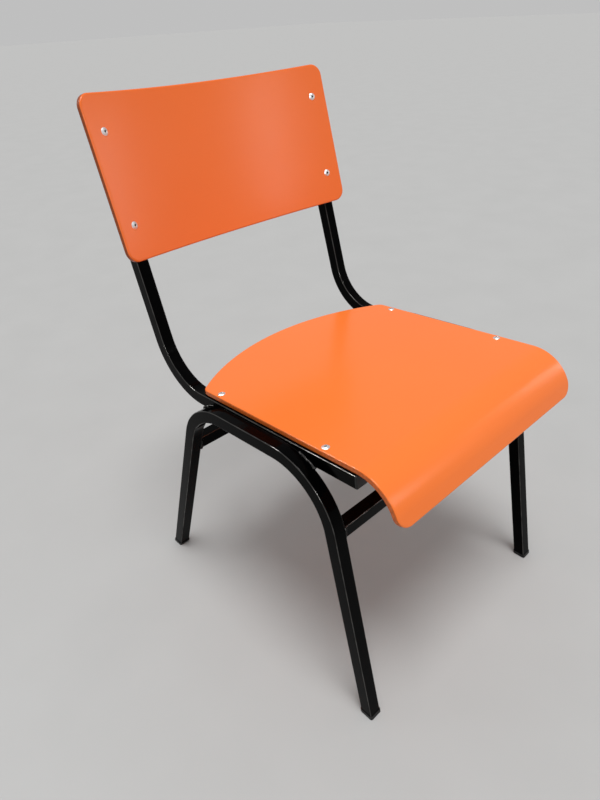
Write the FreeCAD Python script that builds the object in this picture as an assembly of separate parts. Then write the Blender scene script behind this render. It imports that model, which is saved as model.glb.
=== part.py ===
"""Stacking chair: bent square-tube frame, bent plywood seat and curved plywood backrest.

Axes: X runs across the chair, the front faces -Y, +Z is up.  Left is -X.
The origin is on the floor under the middle of the chair.
Lengths are in millimetres and angles in degrees.
"""
import FreeCAD, Part
import math
import os

V = FreeCAD.Vector

# Square steel tube shared by the legs, rails and crossbars
TUBE = 20.0
WALL = 1.5
TUBE_CORNER = 2.0
LEG_BEND_R = 100.0
RAIL_BEND_R = 94.0

# Leg frames
LEG_X = 218.0
FRONT_FOOT_Y = -264.5
REAR_FOOT_Y = 236.2
FRONT_LEG_TILT = 11.7
REAR_LEG_TILT = 20.6
LEG_TOP_Z = 409.2
LEG_CUT_Z = 6.0

# Back rails: under the seat, then up behind the backrest
RAIL_X = 198.0
RAIL_TOP_Z = 412.0
RAIL_FRONT_Y = -221.2
MID_UPRIGHT_YZ = (225.4, 600.0)
UPRIGHT_TOP_Z = 782.0
LEAN = 15.0
SEAT_PITCH = 3.66

# Crossbars, centre lines
FRONT_BAR_YZ = (-195.8, 323.0)
REAR_BAR_YZ = (124.7, 301.0)

# Plywood sheets
PLY = 9.0
PLY_ROUND = 2.5

# Seat: a bowed rear edge, a flat middle and a front that falls over in an arc
SEAT_HALF_W = 205.0
SEAT_BACK_Y = 153.3
SEAT_CORNER_Y = 85.3
SEAT_REAR_CORNER_R = 15.0
SEAT_FRONT_CORNER_R = 21.0
FALL_START = 220.7
FALL_R = 65.0
FALL_ANGLE = 71.0
FALL_END = 19.0

# Backrest: heights are up the lean from the middle of the uprights
BACK_HALF_W = 223.5
BACK_LOW = -17.5
BACK_HIGH = 208.9
BACK_CORNER_R = 18.0
BACK_R = 817.0
BACK_GAP = 0.05

# Blind rivets
RIVET_BODY_D = 4.8
RIVET_HOLE_D = 5.0
RIVET_HEAD_D = 11.0
RIVET_HEAD_H = 2.0
RIVET_PIN_D = 2.8
RIVET_MOUTH_D = 4.4
RIVET_MOUTH_DEPTH = 1.0
RIVET_BLIND_D = 7.0
RIVET_BLIND_LEN = 3.0
PIN_STANDS = 0.4
SEAT_GRIP = 10.55
BACK_GRIP = 14.3
HEAD_GAP = 0.02
SEAT_RIVET_X = 195.5
SEAT_RIVET_Y = (-162.2, 52.3)
BACK_RIVET_V = (33.1, 159.5)

# Plastic ends
GLIDE_LIP = 1.0
GLIDE_PLUG = 22.0
GLIDE_CHAMFER = 0.8
CAP_THICK = 3.0
CAP_PLUG = 14.0
CAP_ROUND = 1.2
PLUG_CORNER = 0.6
FIT_GAP = 0.1
PLUG_SIZE = TUBE - 2 * WALL - 2 * FIT_GAP

# Welds: bead radii, and the stretch of each leg bend that is welded to its rail
RAIL_BEAD_R = 2.2
BAR_BEAD_R = 1.8
REAR_WELD_ARC = (52.0, 67.0)
FRONT_WELD_ARC = (105.0, 119.0)

# Cutting blocks and blanks run this far past what they cut, or just clear of it
BEYOND = 400.0
CLEAR = 20.0


def tan_deg(angle):
    return math.tan(math.radians(angle))


def direction(angle):
    """Unit vector in the YZ plane, angle from +Y towards +Z."""
    return V(0, math.cos(math.radians(angle)), math.sin(math.radians(angle)))


def rounded_square(size, corner, origin, normal_dir):
    """Wire of a rounded square across a tube at origin; one side stays along X."""
    half = size / 2.0
    flat = half - corner
    across = V(1, 0, 0)
    edges = []
    turn = corner * math.sqrt(0.5)

    def at(a, b):
        return origin + across * a + normal_dir * b

    for sx, sy, sx2, sy2 in ((1, 1, -1, 1), (-1, 1, -1, -1), (-1, -1, 1, -1), (1, -1, 1, 1)):
        if sy == sy2:
            start, end = at(sx * flat, sy * half), at(sx2 * flat, sy2 * half)
            arc_end = at(sx2 * half, sy2 * flat)
        else:
            start, end = at(sx * half, sy * flat), at(sx2 * half, sy2 * flat)
            arc_end = at(sx2 * flat, sy2 * half)
        mid = at(sx2 * (flat + turn), sy2 * (flat + turn))
        edges.append(Part.LineSegment(start, end).toShape())
        edges.append(Part.Arc(end, mid, arc_end).toShape())
    return Part.Wire(edges)


def swept_bar(points, bend_r, x, size, corner):
    """Solid bar through points (y, z) in the plane x, with every corner bent to bend_r."""
    pts = [V(x, y, z) for y, z in points]
    pieces = []
    start = pts[0]
    for i in range(1, len(pts)):
        along = (pts[i] - pts[i - 1]).normalize()
        normal = V(1, 0, 0).cross(along)
        face = Part.Face(rounded_square(size, corner, start, normal))
        if i == len(pts) - 1:
            pieces.append(face.extrude(pts[i] - start))
            break
        onward = (pts[i + 1] - pts[i]).normalize()
        turn = along.getAngle(onward)
        setback = bend_r * math.tan(turn / 2.0)
        bend_start = pts[i] - along * setback
        pieces.append(face.extrude(bend_start - start))
        side = along.cross(onward)
        side.normalize()
        centre = bend_start + side.cross(along) * bend_r
        bend_face = Part.Face(rounded_square(size, corner, bend_start, normal))
        pieces.append(bend_face.revolve(centre, side, math.degrees(turn)))
        start = pts[i] + onward * setback
    return pieces[0].multiFuse(pieces[1:]).removeSplitter()


def swept_tube(points, bend_r, x):
    outer = swept_bar(points, bend_r, x, TUBE, TUBE_CORNER)
    inner = swept_bar(points, bend_r, x, TUBE - 2 * WALL, TUBE_CORNER - WALL)
    return outer.cut(inner)


def mirrored(shape):
    return shape.mirror(V(0, 0, 0), V(1, 0, 0))


def level_slab(z0, z1):
    """Block between two heights, wider and deeper than the chair."""
    return Part.makeBox(2 * BEYOND, 2 * BEYOND, z1 - z0, V(-BEYOND, -BEYOND, z0))


# ---- frame ----

def leg_line_y(foot_y, tilt, z):
    """Centre line of a straight leg at height z; front legs tilt +, rear legs -."""
    return foot_y + tan_deg(tilt) * z


def leg_points():
    """Rear foot, rear corner, front corner, front foot of the leg centre line."""
    pitch = -tan_deg(SEAT_PITCH)
    run_z = LEG_TOP_Z - TUBE / 2.0 / math.cos(math.radians(SEAT_PITCH))
    corners = []
    for foot_y, tilt in ((REAR_FOOT_Y, -REAR_LEG_TILT), (FRONT_FOOT_Y, FRONT_LEG_TILT)):
        slope = tan_deg(tilt)
        z = (run_z + pitch * foot_y) / (1.0 - pitch * slope)
        corners.append((foot_y + slope * z, z))
    rear = (leg_line_y(REAR_FOOT_Y, -REAR_LEG_TILT, -CLEAR), -CLEAR)
    front = (leg_line_y(FRONT_FOOT_Y, FRONT_LEG_TILT, -CLEAR), -CLEAR)
    return [rear, corners[0], corners[1], front]


def leg_frame():
    tube = swept_tube(leg_points(), LEG_BEND_R, -LEG_X)
    return tube.cut(level_slab(-BEYOND, LEG_CUT_Z))


def rail_points():
    """Front end, rear corner and top of the rail centre line."""
    pitch = -tan_deg(SEAT_PITCH)
    lean = tan_deg(LEAN)
    run_z = RAIL_TOP_Z - TUBE / 2.0 / math.cos(math.radians(SEAT_PITCH))
    base_y = MID_UPRIGHT_YZ[0] - MID_UPRIGHT_YZ[1] * lean
    z = (run_z + pitch * base_y) / (1.0 - pitch * lean)
    corner = (base_y + lean * z, z)
    top = (base_y + lean * UPRIGHT_TOP_Z, UPRIGHT_TOP_Z)
    front = (RAIL_FRONT_Y, run_z + pitch * RAIL_FRONT_Y)
    return [front, corner, top]


def back_rail():
    tube = swept_tube(rail_points(), RAIL_BEND_R, -RAIL_X)
    for place in rivet_places("left"):
        tube = tube.cut(rivet_hole(place))
    return tube


def crossbar(centre):
    y, z = centre
    half = LEG_X - TUBE / 2.0

    def square_bar(size, corner):
        wire = rounded_square(size, corner, V(0, 0, 0), V(0, 1, 0))
        wire.rotate(V(0, 0, 0), V(0, 1, 0), 90)
        wire.translate(V(-half, y, z))
        return Part.Face(wire).extrude(V(2 * half, 0, 0))

    return square_bar(TUBE, TUBE_CORNER).cut(square_bar(TUBE - 2 * WALL, TUBE_CORNER - WALL))


# ---- plywood ----

def seat_frame_point(forward, up):
    """Point on the seat's own side plane: forward along the rail top, up from it."""
    along = direction(180.0 - SEAT_PITCH)
    normal = direction(90.0 - SEAT_PITCH)
    return V(0, 0, RAIL_TOP_Z) + along * forward + normal * up


def seat_side_wire(x):
    """Closed side view of the bent seat sheet in the plane x."""
    a = math.radians(FALL_ANGLE)

    def on_fall(radius, angle):
        forward = FALL_START + radius * math.sin(angle)
        up = PLY - FALL_R + radius * math.cos(angle)
        return seat_frame_point(forward, up)

    def past_fall(radius):
        forward = FALL_START + radius * math.sin(a) + FALL_END * math.cos(a)
        up = PLY - FALL_R + radius * math.cos(a) - FALL_END * math.sin(a)
        return seat_frame_point(forward, up)

    inner = FALL_R - PLY
    rear = -SEAT_BACK_Y - CLEAR
    edges = [
        Part.LineSegment(seat_frame_point(rear, PLY), on_fall(FALL_R, 0)).toShape(),
        Part.Arc(on_fall(FALL_R, 0), on_fall(FALL_R, a / 2), on_fall(FALL_R, a)).toShape(),
        Part.LineSegment(on_fall(FALL_R, a), past_fall(FALL_R)).toShape(),
        Part.LineSegment(past_fall(FALL_R), past_fall(inner)).toShape(),
        Part.LineSegment(past_fall(inner), on_fall(inner, a)).toShape(),
        Part.Arc(on_fall(inner, a), on_fall(inner, a / 2), on_fall(inner, 0)).toShape(),
        Part.LineSegment(on_fall(inner, 0), seat_frame_point(rear, 0)).toShape(),
        Part.LineSegment(seat_frame_point(rear, 0), seat_frame_point(rear, PLY)).toShape(),
    ]
    wire = Part.Wire(edges)
    wire.translate(V(x, 0, 0))
    return wire


def seat_rear_outline():
    """Tall prism whose plan has the bowed rear edge and its two corners."""
    w = SEAT_HALF_W
    bow = Part.Arc(V(w, SEAT_CORNER_Y, 0), V(0, SEAT_BACK_Y, 0), V(-w, SEAT_CORNER_Y, 0)).toShape()
    left = Part.LineSegment(V(-w, SEAT_CORNER_Y, 0), V(-w, -BEYOND, 0)).toShape()
    front = Part.LineSegment(V(-w, -BEYOND, 0), V(w, -BEYOND, 0)).toShape()
    right = Part.LineSegment(V(w, -BEYOND, 0), V(w, SEAT_CORNER_Y, 0)).toShape()
    prism = Part.Face(Part.Wire([bow, left, front, right])).extrude(V(0, 0, 2 * RAIL_TOP_Z))
    corners = []
    for edge in edges_along(prism, V(0, 0, 1)):
        if abs(edge.Vertexes[0].Y - SEAT_CORNER_Y) < 1e-3:
            corners.append(edge)
    return prism.makeFillet(SEAT_REAR_CORNER_R, corners)


def seat_front_corner_tool(side):
    """Waste outside a rounded front corner, cut square to the falling front edge."""
    overrun = 6.0
    a = math.radians(FALL_ANGLE)
    r = SEAT_FRONT_CORNER_R
    forward = FALL_START + FALL_R * math.sin(a) + FALL_END * math.cos(a)
    up = PLY - FALL_R + FALL_R * math.cos(a) - FALL_END * math.sin(a)
    tip = seat_frame_point(forward, up)
    down = direction(180.0 - SEAT_PITCH + FALL_ANGLE)
    out = direction(90.0 - SEAT_PITCH + FALL_ANGLE)
    x = side * SEAT_HALF_W
    base = V(x, 0, 0) + tip - out * 2.0 * CLEAR
    inward = V(-side, 0, 0)
    c_side = base - down * r
    c_front = base + inward * r
    mid = base + inward * r - down * r + (V(side, 0, 0) + down) * (r * math.sqrt(0.5))
    far = V(side, 0, 0) * overrun
    deep = down * overrun
    edges = [
        Part.Arc(c_side, mid, c_front).toShape(),
        Part.LineSegment(c_front, c_front + deep).toShape(),
        Part.LineSegment(c_front + deep, base + far + deep).toShape(),
        Part.LineSegment(base + far + deep, c_side + far).toShape(),
        Part.LineSegment(c_side + far, c_side).toShape(),
    ]
    return Part.Face(Part.Wire(edges)).extrude(out * 3.0 * CLEAR)


def edges_along(shape, axis):
    """Straight edges of shape that run along axis."""
    found = []
    for edge in shape.Edges:
        if len(edge.Vertexes) < 2:
            continue
        line = edge.Vertexes[1].Point - edge.Vertexes[0].Point
        if abs(line.normalize().dot(axis)) > 0.999:
            found.append(edge)
    return found


def is_sharp(shape, edge):
    """True where the two faces beside an edge meet at a clear angle."""
    middle = edge.valueAt((edge.FirstParameter + edge.LastParameter) / 2.0)
    normals = []
    for face in shape.ancestorsOfType(edge, Part.Face):
        u, v = face.Surface.parameter(middle)
        normals.append(face.normalAt(u, v))
    return len(normals) == 2 and normals[0].getAngle(normals[1]) > 0.5


def rounded_rims(shape, radius):
    """Ease the rim of a sheet on both faces."""
    return shape.makeFillet(radius, [e for e in shape.Edges if is_sharp(shape, e)])


def seat_panel():
    side = Part.Face(seat_side_wire(-SEAT_HALF_W))
    sheet = side.extrude(V(2 * SEAT_HALF_W, 0, 0))
    sheet = sheet.common(seat_rear_outline())
    for sign in (-1, 1):
        sheet = sheet.cut(seat_front_corner_tool(sign))
    sheet = rounded_rims(sheet.removeSplitter(), PLY_ROUND)
    for place in rivet_places("seat"):
        sheet = sheet.cut(rivet_hole(place))
    return sheet


def back_origin():
    """Origin of the backrest's own frame, on the chord through the front face at the uprights.

    The rear face of the sheet meets the uprights along their rounded inner edges.
    """
    corner_x = RAIL_X - TUBE / 2.0 + TUBE_CORNER
    reach = BACK_R + PLY + TUBE_CORNER + BACK_GAP
    corner_depth = math.sqrt(reach ** 2 - corner_x ** 2)
    face_depth = math.sqrt(BACK_R ** 2 - RAIL_X ** 2)
    offset = corner_depth - face_depth - TUBE_CORNER
    return V(0, *MID_UPRIGHT_YZ) - direction(-LEAN) * (TUBE / 2.0 + offset)


def back_point(x, v, depth):
    """Point in the backrest's own frame: across, up the lean, towards the rear."""
    return back_origin() + V(x, 0, 0) + direction(90.0 - LEAN) * v + direction(-LEAN) * depth


def backrest_panel():
    """Arc of sheet whose edges are square to its faces, with four rounded corners."""
    axis = direction(90.0 - LEAN)
    through = direction(-LEAN)
    centre = back_point(0, BACK_LOW, -math.sqrt(BACK_R ** 2 - RAIL_X ** 2))
    near = centre + through * BACK_R
    far = near + through * PLY
    rise = axis * (BACK_HIGH - BACK_LOW)
    face = Part.Face(Part.makePolygon([near, far, far + rise, near + rise, near]))
    half_angle = math.degrees(math.asin(BACK_HALF_W / BACK_R))
    face.rotate(centre, axis, -half_angle)
    sheet = face.revolve(centre, axis, 2.0 * half_angle)
    corners = [e for e in sheet.Edges if abs(e.Length - PLY) < 1e-3]
    sheet = rounded_rims(sheet.makeFillet(BACK_CORNER_R, corners), PLY_ROUND)
    for place in rivet_places("back"):
        sheet = sheet.cut(rivet_hole(place))
    return sheet


# ---- rivets ----

def rivet_places(group):
    """(point under the head, inward direction, grip length) for each rivet of a group."""
    places = []
    if group in ("seat", "left"):
        for y in SEAT_RIVET_Y:
            forward = -y / math.cos(math.radians(SEAT_PITCH))
            for x in (-SEAT_RIVET_X, SEAT_RIVET_X):
                head = seat_frame_point(forward, PLY) + V(x, 0, 0)
                places.append((head, direction(-90.0 - SEAT_PITCH), SEAT_GRIP))
    if group in ("back", "left"):
        for v in BACK_RIVET_V:
            for x in (-RAIL_X, RAIL_X):
                places.append((back_point(x, v, -HEAD_GAP), back_inward(x), BACK_GRIP))
    if group == "left":
        places = [p for p in places if p[0].x < 0]
    return places


def back_inward(x):
    """Direction straight into the backrest's face at x."""
    depth = math.sqrt(BACK_R ** 2 - x ** 2)
    inward = V(x, 0, 0) + direction(-LEAN) * depth
    return inward.normalize()


def rivet_hole(place):
    head, inward, grip = place
    return Part.makeCylinder(RIVET_HOLE_D / 2.0, grip + 1.0, head - inward, inward)


def dome(head, inward):
    """Low round head standing on the sheet."""
    half = RIVET_HEAD_D / 2.0
    radius = (half ** 2 + RIVET_HEAD_H ** 2) / (2.0 * RIVET_HEAD_H)
    ball = Part.makeSphere(radius, head + inward * (radius - RIVET_HEAD_H))
    keep = Part.makeCylinder(half, RIVET_HEAD_H, head - inward * RIVET_HEAD_H, inward)
    return ball.common(keep)


def rivet(place):
    """Domed head, shank and blind bulge, with a dished bore for the pin."""
    head, inward, grip = place
    length = grip + RIVET_BLIND_LEN
    shank = Part.makeCylinder(RIVET_BODY_D / 2.0, length, head, inward)
    bulge = Part.makeCylinder(RIVET_BLIND_D / 2.0, RIVET_BLIND_LEN, head + inward * grip, inward)
    body = dome(head, inward).fuse([shank, bulge]).removeSplitter()
    crown = head - inward * RIVET_HEAD_H
    bore = Part.makeCylinder(RIVET_PIN_D / 2.0, length + RIVET_HEAD_H, crown, inward)
    mouth = Part.makeCone(RIVET_MOUTH_D / 2.0, RIVET_PIN_D / 2.0, RIVET_MOUTH_DEPTH, crown, inward)
    return body.cut(bore).cut(mouth)


def rivet_pin(place):
    """Snapped-off mandrel left inside the rivet, a little above the sheet."""
    head, inward, grip = place
    radius = (RIVET_PIN_D - FIT_GAP) / 2.0
    length = PIN_STANDS + grip + RIVET_BLIND_LEN
    return Part.makeCylinder(radius, length, head - inward * PIN_STANDS, inward)


def group_of(make, group):
    return Part.makeCompound([make(place) for place in rivet_places(group)])


# ---- plastic ends ----

def slanted_prism(size, corner, foot_y, tilt, z0, z1):
    """Prism along a leg, cut level at z0 and z1."""
    axis = direction(90.0 - tilt)
    start = V(-LEG_X, leg_line_y(foot_y, tilt, z0 - CLEAR), z0 - CLEAR)
    face = Part.Face(rounded_square(size, corner, start, V(1, 0, 0).cross(axis)))
    bar = face.extrude(axis * (z1 - z0 + 3.0 * CLEAR))
    return bar.common(level_slab(z0, z1))


def glide(foot_y, tilt):
    """Push-in foot: a lip under the cut tube end and a plug inside it."""
    lip = slanted_prism(TUBE + 2 * GLIDE_LIP, TUBE_CORNER + GLIDE_LIP, foot_y, tilt, 0.0, LEG_CUT_Z)
    low = [e for e in lip.Edges if max(v.Z for v in e.Vertexes) < 0.01]
    lip = lip.makeChamfer(GLIDE_CHAMFER, low)
    plug = slanted_prism(PLUG_SIZE, PLUG_CORNER, foot_y, tilt, LEG_CUT_Z, LEG_CUT_Z + GLIDE_PLUG)
    return lip.fuse(plug).removeSplitter()


def end_cap(end, outward):
    """Square cap on a tube end, its plug reaching into the tube."""
    normal = V(1, 0, 0).cross(outward)
    rim_wire = rounded_square(TUBE - 2 * FIT_GAP, TUBE_CORNER, end, normal)
    plate = Part.Face(rim_wire).extrude(outward * CAP_THICK)
    far = end + outward * CAP_THICK
    rim = [e for e in plate.Edges if all(abs((v.Point - far).dot(outward)) < 1e-3 for v in e.Vertexes)]
    plate = plate.makeFillet(CAP_ROUND, rim)
    base = end - outward * CAP_PLUG
    plug = Part.Face(rounded_square(PLUG_SIZE, PLUG_CORNER, base, normal)).extrude(outward * CAP_PLUG)
    return plate.fuse(plug).removeSplitter()


def upright_cap():
    y, z = rail_points()[2]
    return end_cap(V(-RAIL_X, y, z), direction(90.0 - LEAN))


def rail_plug():
    y, z = rail_points()[0]
    return end_cap(V(-RAIL_X, y, z), direction(180.0 - SEAT_PITCH))


# ---- welds ----

def bead(p0, p1, radius):
    """Rounded bead from p0 to p1."""
    line = p1 - p0
    body = Part.makeCylinder(radius, line.Length, p0, line)
    return body.fuse([Part.makeSphere(radius, p0), Part.makeSphere(radius, p1)]).removeSplitter()


def bent_bead(centre, radius, a0, a1, x, thick):
    """Bead following a bend in the plane x, between two angles about its centre."""
    start = centre + direction(a0) * radius
    ring = Part.Wire(Part.makeCircle(thick, start, V(1, 0, 0).cross(direction(a0))))
    body = Part.Face(ring).revolve(centre, V(1, 0, 0), a1 - a0)
    body.translate(V(x, 0, 0))
    ends = [Part.makeSphere(thick, V(x, 0, 0) + centre + direction(a) * radius) for a in (a0, a1)]
    return body.fuse(ends).removeSplitter()


def leg_bend_centre(corner_index):
    pts = [V(0, y, z) for y, z in leg_points()]
    corner = pts[corner_index]
    back = (pts[corner_index - 1] - corner).normalize()
    on = (pts[corner_index + 1] - corner).normalize()
    half = back.getAngle(on) / 2.0
    middle = (back + on).normalize()
    return corner + middle * (LEG_BEND_R / math.sin(half))


def rail_welds(solids):
    """Beads along the top of each leg bend where it meets the rail's outer face."""
    x = -(LEG_X - TUBE / 2.0)
    reach = LEG_BEND_R + TUBE / 2.0
    rear = bent_bead(leg_bend_centre(1), reach, *REAR_WELD_ARC, x, RAIL_BEAD_R)
    front = bent_bead(leg_bend_centre(2), reach, *FRONT_WELD_ARC, x, RAIL_BEAD_R)
    return Part.makeCompound([outside(item, solids) for item in (rear, front)])


def outside(bead_shape, solids):
    """The part of a bead that lies outside the solids it joins."""
    for solid in solids:
        bead_shape = bead_shape.cut(solid)
    return max(bead_shape.Solids, key=lambda s: s.Volume)


def crossbar_welds(centre, solids):
    """Beads round both ends of a crossbar, on its front, rear and lower sides."""
    y, z = centre
    half = TUBE / 2.0
    reach = half - TUBE_CORNER
    beads = []
    sides = ((-half, 0, V(0, 0, reach)), (half, 0, V(0, 0, reach)), (0, -half, V(0, reach, 0)))
    for end in (-1, 1):
        for dy, dz, run in sides:
            middle = V(end * (LEG_X - half), y + dy, z + dz)
            item = bead(middle - run, middle + run, BAR_BEAD_R)
            beads.append(outside(item, solids))
    return Part.makeCompound(beads)


def build():
    left_leg = leg_frame()
    left_rail = back_rail()
    right_leg = mirrored(left_leg)
    right_rail = mirrored(left_rail)
    front_bar = crossbar(FRONT_BAR_YZ)
    rear_bar = crossbar(REAR_BAR_YZ)
    seat = seat_panel()
    left_welds = rail_welds([left_leg, left_rail, seat])
    return {
        "left_leg_frame": left_leg,
        "right_leg_frame": right_leg,
        "left_back_rail": left_rail,
        "right_back_rail": right_rail,
        "front_crossbar": front_bar,
        "rear_crossbar": rear_bar,
        "seat_panel": seat,
        "backrest_panel": backrest_panel(),
        "left_front_glide": glide(FRONT_FOOT_Y, FRONT_LEG_TILT),
        "right_front_glide": mirrored(glide(FRONT_FOOT_Y, FRONT_LEG_TILT)),
        "left_rear_glide": glide(REAR_FOOT_Y, -REAR_LEG_TILT),
        "right_rear_glide": mirrored(glide(REAR_FOOT_Y, -REAR_LEG_TILT)),
        "left_upright_cap": upright_cap(),
        "right_upright_cap": mirrored(upright_cap()),
        "left_rail_plug": rail_plug(),
        "right_rail_plug": mirrored(rail_plug()),
        "seat_rivets": group_of(rivet, "seat"),
        "backrest_rivets": group_of(rivet, "back"),
        "seat_rivet_pins": group_of(rivet_pin, "seat"),
        "backrest_rivet_pins": group_of(rivet_pin, "back"),
        "left_rail_welds": left_welds,
        "right_rail_welds": mirrored(left_welds),
        "front_crossbar_welds": crossbar_welds(FRONT_BAR_YZ, [front_bar, left_leg, right_leg]),
        "rear_crossbar_welds": crossbar_welds(REAR_BAR_YZ, [rear_bar, left_leg, right_leg]),
    }


os.makedirs("parts", exist_ok=True)
for name, shape in build().items():
    shape.exportStep("parts/" + name + ".step")
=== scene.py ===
"""Looks of the stacking chair: lacquered plywood on a gloss black tube frame."""
import bpy
import math
from mathutils import Matrix, Vector


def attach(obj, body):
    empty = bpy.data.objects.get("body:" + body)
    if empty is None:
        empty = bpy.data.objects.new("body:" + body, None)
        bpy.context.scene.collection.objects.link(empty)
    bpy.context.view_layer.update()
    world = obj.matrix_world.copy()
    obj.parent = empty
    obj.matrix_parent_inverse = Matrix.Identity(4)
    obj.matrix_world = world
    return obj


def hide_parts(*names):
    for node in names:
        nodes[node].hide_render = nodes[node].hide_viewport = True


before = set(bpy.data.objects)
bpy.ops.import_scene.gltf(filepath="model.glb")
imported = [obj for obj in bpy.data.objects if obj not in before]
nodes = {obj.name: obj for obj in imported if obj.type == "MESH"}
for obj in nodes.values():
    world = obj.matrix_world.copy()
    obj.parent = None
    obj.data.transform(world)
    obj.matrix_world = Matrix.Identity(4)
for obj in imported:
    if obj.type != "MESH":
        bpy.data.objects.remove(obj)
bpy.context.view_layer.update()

# Lengths are in metres, angles in degrees and colours linear, all in the chair's own
# frame: +Z is up, its front faces -Y and its right is +X.
CAMERA_AT = Vector((-0.6101, -0.5822, 0.8848))
CAMERA_AZIMUTH = -41.83
CAMERA_PITCH = 32.94
CAMERA_ROLL = -3.18
CAMERA_LENS = 26.98
SENSOR_WIDTH = 36.0
AIM = Vector((0.0, 0.0, 0.55))
FLOOR_HALF = 40.0
WORLD_GREY = (0.90, 0.90, 0.90)
WORLD_STRENGTH = 0.58

# Lacquer colours: the face, its deeper clouds and grain, and the cut edges, browned by end grain
# and painted shade
SEAT_ORANGE = ((0.95, 0.207, 0.036), (0.92, 0.184, 0.030), (0.66, 0.135, 0.020))
BACK_ORANGE = ((0.93, 0.180, 0.031), (0.90, 0.160, 0.026), (0.36, 0.072, 0.014))
END_GRAIN = 0.6                     # how much of its colour a cut edge's grain keeps
RIM_BUFF = 0.15                     # how much smoother a rim is
GRAIN_STRETCH = (3.5, 70.0, 70.0)

# Where a sheet turns from its faces to its cut edges: a direction that its surface may
# face, and the cosines with it between which it turns
SIDE = (1, 0, 0)
SEAT_REAR_BOW, REAR_BOW_TURN = (0, 0.90, 0.436), (0.72, 0.90)
SEAT_LIP, LIP_TURN = (0, -0.386, -0.923), (0.955, 0.995)
BACK_FACE, BACK_TURN = (0, 0.966, -0.259), (0.955, 0.25)
CUT_COLOUR_TURN = (0.60, 0.85)      # how far turned the cut colour starts and is full

# Patterns
NOISE_RANGE = (0.3, 0.7)            # where most of a noise's values lie
CORNER_RANGE = (0.30, 0.48)         # sine times cosine, which is 0.5 at 45 degrees
SKY_RANGE = (0.97, 0.72)            # open sky seen at a hole's mouth and deep in it
SKY_SAMPLES = 8

# The other colours, each pair from one end of its pattern to the other
PAINT_BLACKS = ((0.0005, 0.0005, 0.0006), (0.0022, 0.0021, 0.0020))
PAINT_RUBBED = (0.10, 0.098, 0.094)
PLASTIC_BLACKS = ((0.004, 0.004, 0.004), (0.015, 0.015, 0.014))
RIVET_GREYS = ((0.90, 0.90, 0.91), (0.72, 0.72, 0.73))
# painted shade laid into the recess of each rivet head
RIVET_RECESS_SHADE = (0.02, 0.02, 0.02)
RECESS_REACH = 0.003
# near black: painted shade down the hole the pin sits in
PIN_SHADE_GREYS = ((0.006, 0.006, 0.007), (0.02, 0.02, 0.021))
FLOOR_GREYS = ((0.43, 0.43, 0.425), (0.47, 0.47, 0.465))

WELD_VOXEL = 0.0005
WELD_LUMPS = ((0.006, 0.0034), (0.0022, 0.0012))    # each layer's size and height
WELD_LEVEL = 0.38                                   # cloud value that moves nothing
WELD_SMOOTHING = 3

WELD_NODES = [n for n in nodes if n.endswith("_welds")]
FRAME_NODES = [n for n in nodes if n.endswith(("_frame", "_rail"))]
BAR_NODES = [n for n in nodes if n.endswith("_crossbar")]
PLASTIC_NODES = [n for n in nodes if n.endswith(("_glide", "_cap", "_plug"))]


# ---- material helpers ----

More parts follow.
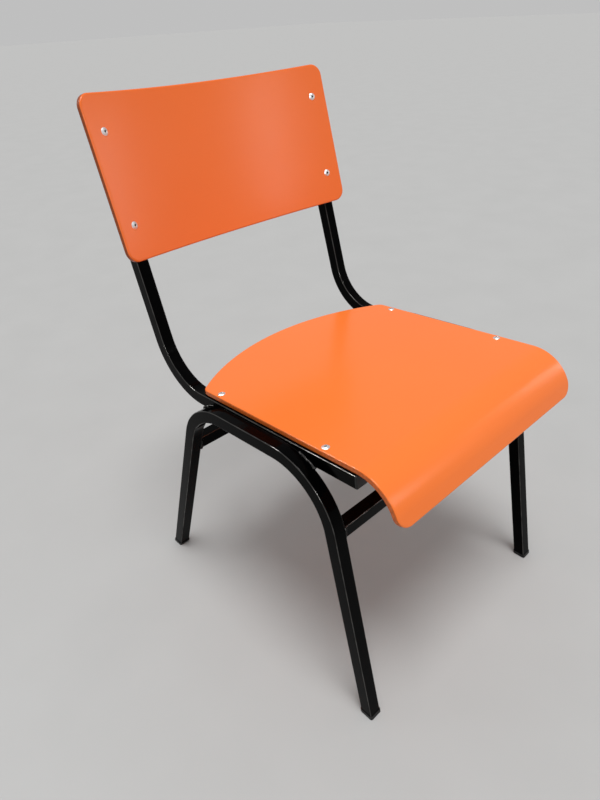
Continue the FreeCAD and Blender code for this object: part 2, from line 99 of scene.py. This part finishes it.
class Graph:
    """A material's node tree with short calls for the nodes used here."""

    def __init__(self, name):
        self.material = bpy.data.materials.new(name)
        self.material.use_nodes = True
        self.tree = self.material.node_tree
        self.shader = self.tree.nodes["Principled BSDF"]
        self.coords = self.tree.nodes.new("ShaderNodeTexCoord").outputs["Object"]

    def link(self, source, socket):
        self.tree.links.new(source, socket)

    def node(self, kind, **values):
        """New node with some inputs set by name, _ standing for a space."""
        node = self.tree.nodes.new("ShaderNode" + kind)
        for key, value in values.items():
            node.inputs[key.replace("_", " ")].default_value = value
        return node

    def feed(self, socket, value):
        """Give a socket a number, a colour or another node's output."""
        if isinstance(value, float):
            socket.default_value = value
        elif isinstance(value, tuple):
            socket.default_value = (*value, 1.0)
        else:
            self.link(value, socket)

    def surface(self, **values):
        """Feed the shader's inputs by name, _ standing for a space."""
        for key, value in values.items():
            self.feed(self.shader.inputs[key.replace("_", " ")], value)

    def mapped(self, scale):
        node = self.node("Mapping", Scale=scale)
        self.link(self.coords, node.inputs["Vector"])
        return node.outputs["Vector"]

    def noise(self, scale, detail=4.0, rough=0.5, vector=None):
        node = self.node("TexNoise", Scale=scale, Detail=detail, Roughness=rough)
        self.link(vector or self.coords, node.inputs["Vector"])
        return node.outputs["Fac"]

    def spread(self, fac, low, high, to_low=0.0, to_high=1.0):
        """Map low..high to to_low..to_high and hold the ends beyond."""
        node = self.node("MapRange", From_Min=low, From_Max=high, To_Min=to_low, To_Max=to_high)
        self.link(fac, node.inputs["Value"])
        return node.outputs["Result"]

    def clouds(self, scale, detail, low=0.0, high=1.0):
        """Noise with its usual range opened out to low..high."""
        return self.spread(self.noise(scale, detail), *NOISE_RANGE, low, high)

    def mix(self, fac, a, b):
        node = self.node("Mix")
        node.data_type = "RGBA"
        self.link(fac, node.inputs["Factor"])
        self.feed(node.inputs["A"], a)
        self.feed(node.inputs["B"], b)
        return node.outputs["Result"]

    def math(self, kind, *values):
        node = self.node("Math")
        node.operation = kind
        for socket, value in zip(node.inputs, values):
            self.feed(socket, value)
        return node.outputs[0]

    def true_normal(self):
        return self.node("NewGeometry").outputs["True Normal"]

    def corners(self, along):
        """1 on the rounded corners of a square tube, 0 on its flats.

        One pair of the tube's flats faces along that axis (0 X, 1 Y, 2 Z).
        """
        parts = self.node("SeparateXYZ")
        self.link(self.true_normal(), parts.inputs["Vector"])
        part = self.math("ABSOLUTE", parts.outputs[along])
        rest = self.math("SQRT", self.math("SUBTRACT", 1.0, self.math("MULTIPLY", part, part)))
        return self.spread(self.math("MULTIPLY", part, rest), *CORNER_RANGE)

    def facing(self, way):
        """Cosine of the angle between the surface's outward direction and way."""
        dot = self.node("VectorMath")
        dot.operation = "DOT_PRODUCT"
        dot.inputs[1].default_value = way
        self.link(self.true_normal(), dot.inputs[0])
        return dot.outputs["Value"]

    def recess(self, reach):
        """1 deep in a hole or crease narrower than reach, 0 in the open; it sets where painted
        shade goes.
        """
        open_sky = self.node("AmbientOcclusion", Distance=reach)
        open_sky.samples = SKY_SAMPLES
        open_sky.only_local = True
        return self.spread(open_sky.outputs["AO"], *SKY_RANGE)

    def bump(self, height, strength, distance):
        node = self.node("Bump", Strength=strength, Distance=distance)
        self.link(height, node.inputs["Height"])
        self.link(node.outputs["Normal"], self.shader.inputs["Normal"])


# ---- materials ----
# Noise scales count cells per metre, and bump distances are in metres.

def seat_turn(g):
    """0 on the seat's two faces, 1 on its cut edges: sides, corners, rear bow and front lip."""
    side = g.math("ABSOLUTE", g.facing(SIDE))
    rear = g.spread(g.facing(SEAT_REAR_BOW), *REAR_BOW_TURN)
    lip = g.spread(g.facing(SEAT_LIP), *LIP_TURN)
    return g.math("MAXIMUM", side, g.math("MAXIMUM", rear, lip))


def back_turn(g):
    """0 on the backrest's two faces, 1 on its cut edges all round."""
    return g.spread(g.math("ABSOLUTE", g.facing(BACK_FACE)), *BACK_TURN)


def lacquer(name, colours, turn_of):
    """Satin orange lacquer over rotary-cut ply, the grain across the chair just showing.

    turn_of finds the cut edges. They are browner, with stronger grain, as end grain drinks the
    lacquer, and their colour is darkened further with painted shade, most on the backrest. The
    rims between a face and an edge are buffed.
    """
    colour, deep, cut = colours
    dark_cut = tuple(END_GRAIN * value for value in cut)
    g = Graph(name)
    turn = turn_of(g)
    rim = g.math("MULTIPLY", g.math("MULTIPLY", turn, 4.0), g.math("SUBTRACT", 1.0, turn))
    grain = g.noise(4.0, 6.0, rough=0.62, vector=g.mapped(GRAIN_STRETCH))
    tone = g.mix(g.clouds(3.2, 3.0, high=0.6), colour, deep)
    tone = g.mix(g.spread(grain, 0.35, 0.75, to_high=0.16), tone, deep)
    # The cut colour holds painted shade on top of end grain's brown, most on the backrest.
    edge = g.mix(g.spread(grain, 0.35, 0.70), cut, dark_cut)
    rough = g.spread(g.noise(9.0, 5.0), 0.25, 0.75, to_low=0.20, to_high=0.27)
    peel = g.noise(420.0, 2.0)
    height = g.math("ADD", g.math("MULTIPLY", grain, 0.5), g.math("MULTIPLY", peel, 0.25))
    g.bump(height, strength=0.16, distance=0.0004)
    g.surface(
        Base_Color=g.mix(g.spread(turn, *CUT_COLOUR_TURN), tone, edge),
        Roughness=g.math("SUBTRACT", rough, g.math("MULTIPLY", rim, RIM_BUFF)),
        IOR=1.45, Specular_IOR_Level=0.32)
    return g.material


def gloss_paint(name, along):
    """Thick black powder coat: glossy, faintly rippled, dusty in places, rubbed on the corners.

    One pair of the tubes' flats faces along that axis, as in Graph.corners.
    """
    g = Graph(name)
    dust = g.spread(g.noise(28.0, 6.0, rough=0.7), 0.52, 0.86)
    patches = g.spread(g.noise(55.0, 5.0), 0.30, 0.62, to_low=0.25)
    rub = g.math("MULTIPLY", g.corners(along), patches)
    g.bump(g.noise(160.0, 2.0), strength=0.14, distance=0.0006)
    g.surface(
        Base_Color=g.mix(rub, g.mix(dust, *PAINT_BLACKS), PAINT_RUBBED),
        Metallic=rub, Roughness=g.clouds(14.0, 4.0, 0.07, 0.14), IOR=1.10)
    return g.material


def moulded_plastic():
    """Scuffed matt black plastic of the glides, caps and plugs."""
    g = Graph("moulded_black_plastic")
    scuff = g.spread(g.noise(60.0, 6.0, rough=0.7), 0.5, 0.8)
    g.bump(g.noise(900.0, 2.0), strength=0.2, distance=0.0002)
    g.surface(
        Base_Color=g.mix(scuff, *PLASTIC_BLACKS),
        Roughness=g.clouds(40.0, 3.0, 0.38, 0.55), IOR=1.35)
    return g.material


def rivet_metal():
    """Bright aluminium, with painted shade darkening the recess that the pin snapped off in."""
    g = Graph("rivet_aluminium")
    bare = g.mix(g.clouds(700.0, 4.0), *RIVET_GREYS)
    g.bump(g.noise(1500.0, 2.0), strength=0.15, distance=0.0001)
    # The recess mask lays painted shade into the hole of each head.
    g.surface(
        Base_Color=g.mix(g.recess(RECESS_REACH), bare, RIVET_RECESS_SHADE),
        Roughness=g.clouds(500.0, 3.0, 0.28, 0.44), Metallic=1.0)
    return g.material


def pin_metal():
    """Dull broken end of a steel pin, painted near black for the shade down the rivet's hole."""
    g = Graph("pin_in_painted_shade")
    g.bump(g.noise(1600.0, 2.0), strength=0.3, distance=0.0001)
    g.surface(
        Base_Color=g.mix(g.clouds(900.0, 4.0), *PIN_SHADE_GREYS),
        Roughness=g.clouds(700.0, 3.0, 0.4, 0.6), Metallic=1.0)
    return g.material


# ---- pieces ----

def placed(name, data):
    """New object in the scene."""
    thing = bpy.data.objects.new(name, data)
    bpy.context.scene.collection.objects.link(thing)
    return thing


def skin(piece, material):
    """Give a piece its one material and shade it smooth."""
    piece.data.materials.clear()
    piece.data.materials.append(material)
    for polygon in piece.data.polygons:
        polygon.use_smooth = True


def dress(names, material):
    for name in names:
        skin(nodes[name], material)


def hand_weld(name, material):
    """A lumpy hand-laid bead in the place of a plain one."""
    piece = placed("lumpy_" + name, nodes[name].data.copy())
    remesh = piece.modifiers.new("remesh", "REMESH")
    remesh.mode = "VOXEL"
    remesh.voxel_size = WELD_VOXEL
    for scale, strength in WELD_LUMPS:
        lumps = bpy.data.textures.new(name, "CLOUDS")
        lumps.noise_scale = scale
        push = piece.modifiers.new("lumps", "DISPLACE")
        push.texture = lumps
        push.texture_coords = "GLOBAL"
        push.strength = strength
        push.mid_level = WELD_LEVEL
    piece.modifiers.new("settle", "SMOOTH").iterations = WELD_SMOOTHING
    view = bpy.context.evaluated_depsgraph_get()
    mesh = bpy.data.meshes.new_from_object(piece.evaluated_get(view))
    piece.modifiers.clear()
    piece.data = mesh
    skin(piece, material)
    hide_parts(name)
    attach(piece, "root")


# ---- stage ----

def floor():
    mesh = bpy.data.meshes.new("floor")
    half = FLOOR_HALF
    ring = [(-half, -half, 0), (half, -half, 0), (half, half, 0), (-half, half, 0)]
    mesh.from_pydata(ring, [], [(0, 1, 2, 3)])
    plane = placed("floor", mesh)
    g = Graph("pale_floor")
    g.surface(Base_Color=g.mix(g.noise(6.0), *FLOOR_GREYS), Roughness=0.6)
    mesh.materials.append(g.material)


def towards(bearing, rise):
    """Direction with a bearing from the chair's front, + to its right, and a rise."""
    b, r = math.radians(bearing), math.radians(rise)
    return Vector((math.sin(b) * math.cos(r), -math.cos(b) * math.cos(r), math.sin(r)))


def strip(name, bearing, rise, distance, size, power):
    """Soft box that shows only as a highlight in gloss, placed and aimed from AIM."""
    data = bpy.data.lights.new(name, "AREA")
    data.shape = "RECTANGLE"
    data.size, data.size_y = size
    data.energy = power
    away = towards(bearing, rise)
    light = placed(name, data)
    light.location = AIM + away * distance
    light.rotation_euler = away.to_track_quat("Z", "Y").to_euler()
    light.visible_diffuse = False


def overhead(bearing, rise, strength, spread):
    """Broad key light with the same angle and strength all over the floor."""
    data = bpy.data.lights.new("overhead", "SUN")
    data.energy = strength
    data.angle = math.radians(spread)
    light = placed("overhead", data)
    light.rotation_euler = towards(bearing, rise).to_track_quat("Z", "Y").to_euler()


def lights():
    world = bpy.data.worlds.new("studio")
    bpy.context.scene.world = world
    world.use_nodes = True
    background = world.node_tree.nodes["Background"]
    background.inputs["Color"].default_value = (*WORLD_GREY, 1.0)
    background.inputs["Strength"].default_value = WORLD_STRENGTH
    overhead(bearing=-30.0, rise=78.0, strength=2.1, spread=26.0)
    strip("right_strip", 31.0, 20.0, distance=2.9, size=(0.26, 0.8), power=4.5)
    strip("side_strip", 60.0, 14.0, distance=2.7, size=(0.14, 0.9), power=3.5)
    strip("left_strip", -45.0, 21.0, distance=2.6, size=(0.10, 1.0), power=14.0)
    strip("rear_strip", -134.0, 38.0, distance=2.6, size=(0.30, 1.0), power=30.0)


def camera():
    data = bpy.data.cameras.new("camera")
    data.lens = CAMERA_LENS
    data.sensor_width = SENSOR_WIDTH
    cam = placed("camera", data)
    azimuth, pitch, roll = (math.radians(a) for a in (CAMERA_AZIMUTH, CAMERA_PITCH, CAMERA_ROLL))
    level = Matrix.Rotation(azimuth, 4, "Z") @ Matrix.Rotation(math.pi / 2 - pitch, 4, "X")
    cam.matrix_world = Matrix.Translation(CAMERA_AT) @ level @ Matrix.Rotation(roll, 4, "Z")
    bpy.context.scene.camera = cam
    bpy.context.scene.view_settings.view_transform = "Standard"


def main():
    paint = gloss_paint("gloss_black_bends", 0)
    dress(FRAME_NODES, paint)
    dress(BAR_NODES, gloss_paint("gloss_black_bars", 1))
    dress(PLASTIC_NODES, moulded_plastic())
    dress(["seat_panel"], lacquer("seat_lacquer", SEAT_ORANGE, seat_turn))
    dress(["backrest_panel"], lacquer("back_lacquer", BACK_ORANGE, back_turn))
    dress(["seat_rivets", "backrest_rivets"], rivet_metal())
    dress(["seat_rivet_pins", "backrest_rivet_pins"], pin_metal())
    for name in WELD_NODES:
        hand_weld(name, paint)
    floor()
    lights()
    camera()


main()
